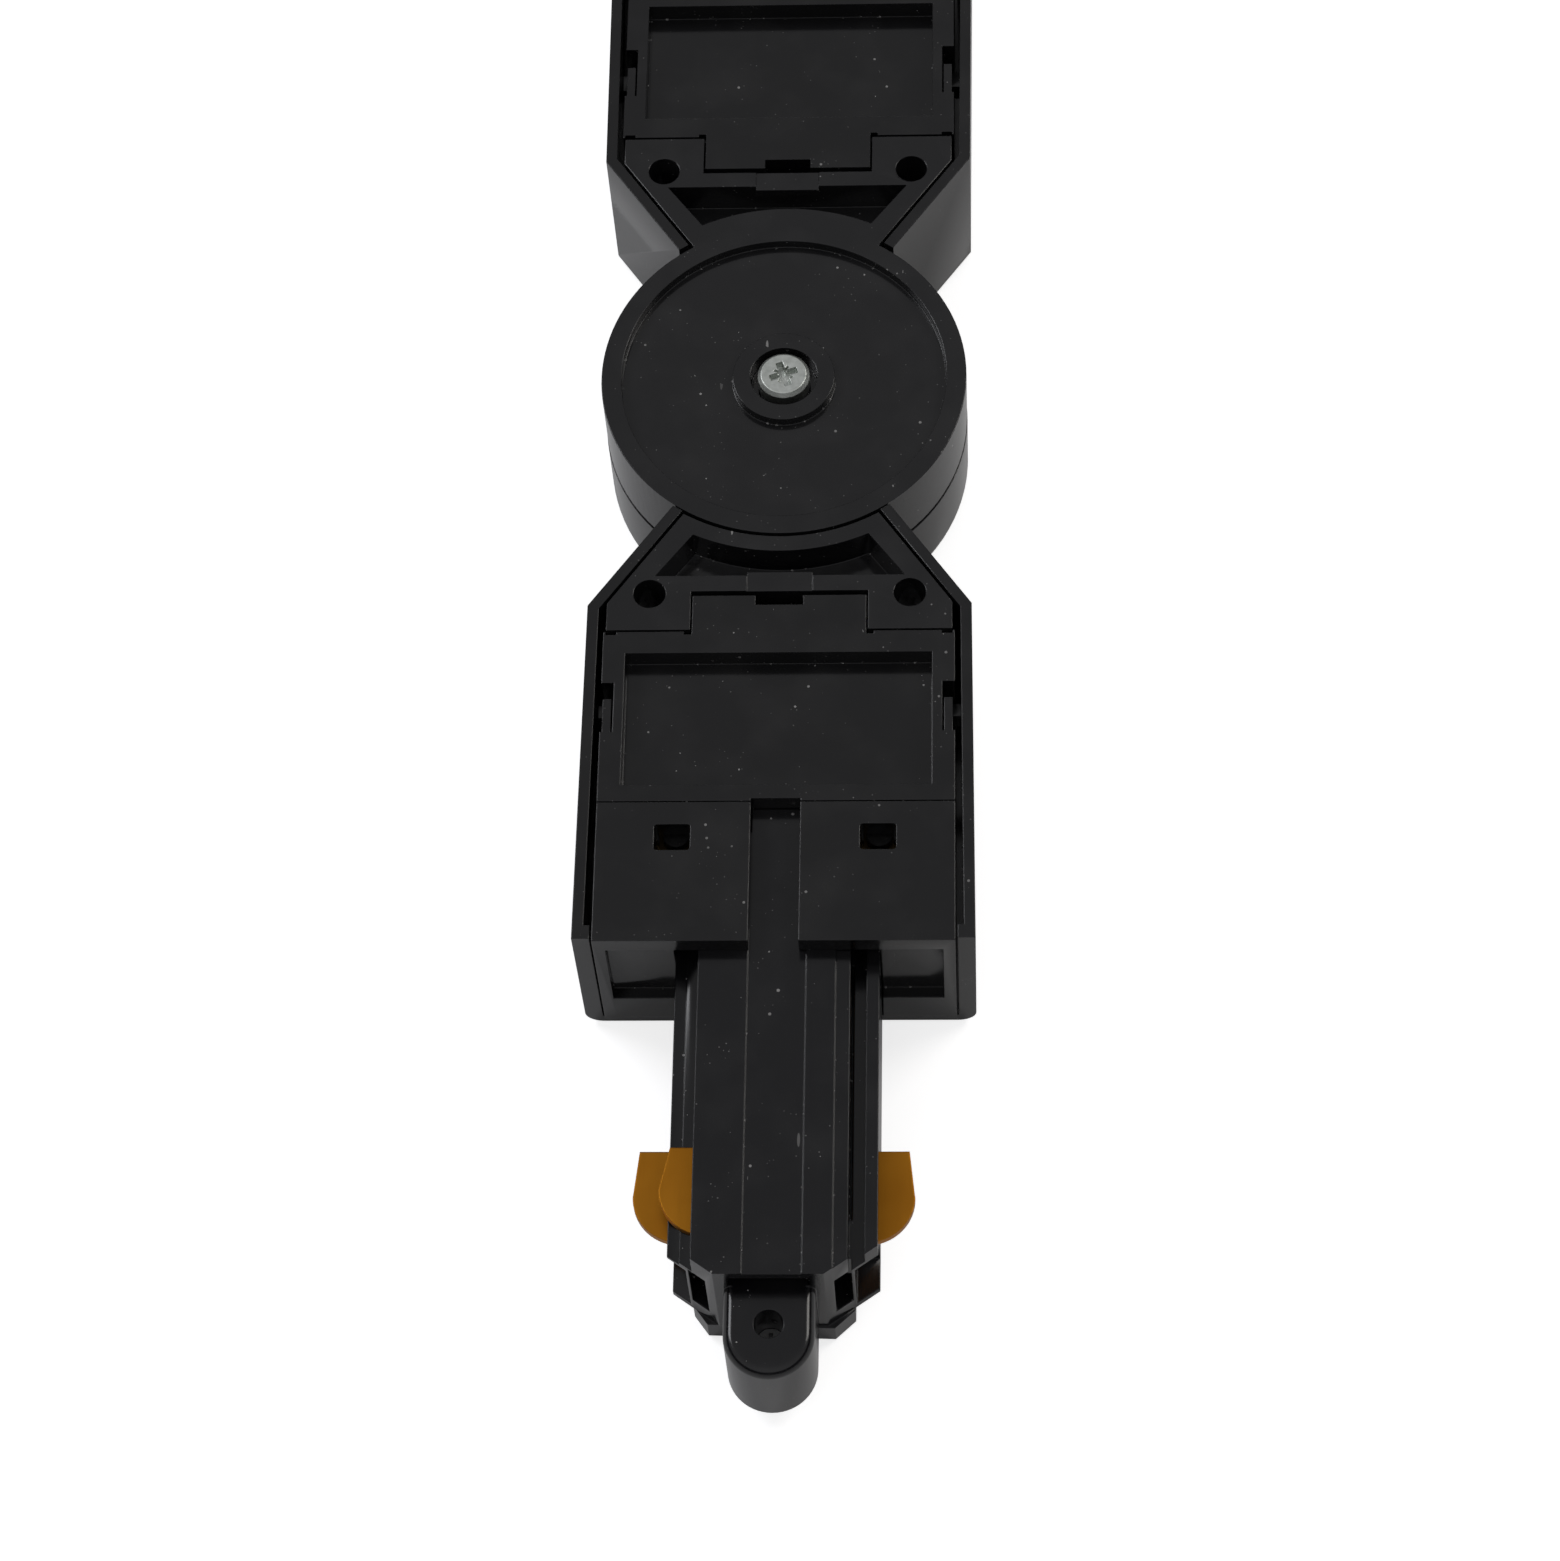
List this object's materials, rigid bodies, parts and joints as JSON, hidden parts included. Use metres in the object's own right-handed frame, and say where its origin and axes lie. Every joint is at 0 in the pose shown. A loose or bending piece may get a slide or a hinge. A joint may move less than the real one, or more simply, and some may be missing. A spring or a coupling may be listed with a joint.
{
  "type": "flexible track connector",
  "caption": "Two black plug-in arms joined by a round swivel drum, carrying mains power round a corner between lengths of lighting track.",
  "frame": {"origin": "on the hinge axis, at the room face on which the connector lies", "axes": "+Z along the hinge axis to the ceiling side, -Y along the near arm to its plug, +Y along the far arm, +X across"},
  "size_m": [0.036, 0.197, 0.0179],
  "materials": {
    "cover": "smooth black moulded cover, semi gloss",
    "frame": "smooth black moulding, semi gloss",
    "block": "smooth black moulding, satin",
    "plug": "smooth black moulding, satin",
    "contact": "bare copper alloy, satin",
    "terminal": "turned brass",
    "screw": "zinc plated",
    "pivot_screw": "nickel plated, slightly darkened",
    "brown_wire": "smooth insulation",
    "blue_wire": "smooth insulation",
    "green_wire": "smooth insulation"
  },
  "bodies": {
    "near_arm": {"near_cover": "cover", "near_block": "block", "near_plug": "plug", "near_upper_contact": "contact", "near_left_contact": "contact", "near_right_contact": "contact", "near_left_terminal": "terminal", "near_right_terminal": "terminal", "near_middle_terminal": "terminal", "near_terminal_screws": "screw", "near_frame_screws": "screw", "near_lug_screw": "screw", "near_frame": "frame", "pivot_screw": "pivot_screw", "pivot_washer": "screw", "pivot_insert": "terminal", "live_wire": "brown_wire", "neutral_wire": "blue_wire", "earth_wire": "green_wire"},
    "far_arm": {"far_cover": "cover", "far_block": "block", "far_plug": "plug", "far_upper_contact": "contact", "far_left_contact": "contact", "far_right_contact": "contact", "far_left_terminal": "terminal", "far_right_terminal": "terminal", "far_middle_terminal": "terminal", "far_terminal_screws": "screw", "far_frame_screws": "screw", "far_lug_screw": "screw", "far_frame_disc": "frame"}
  },
  "joints": [
    {"name": "swivel", "type": "hinge", "parent": "near_arm", "child": "far_arm", "pos_m": [0, 0, 0], "axis": [0, 0, 1], "range_deg": [-105, 105], "deforming": ["live_wire", "neutral_wire", "earth_wire"]}
  ]
}
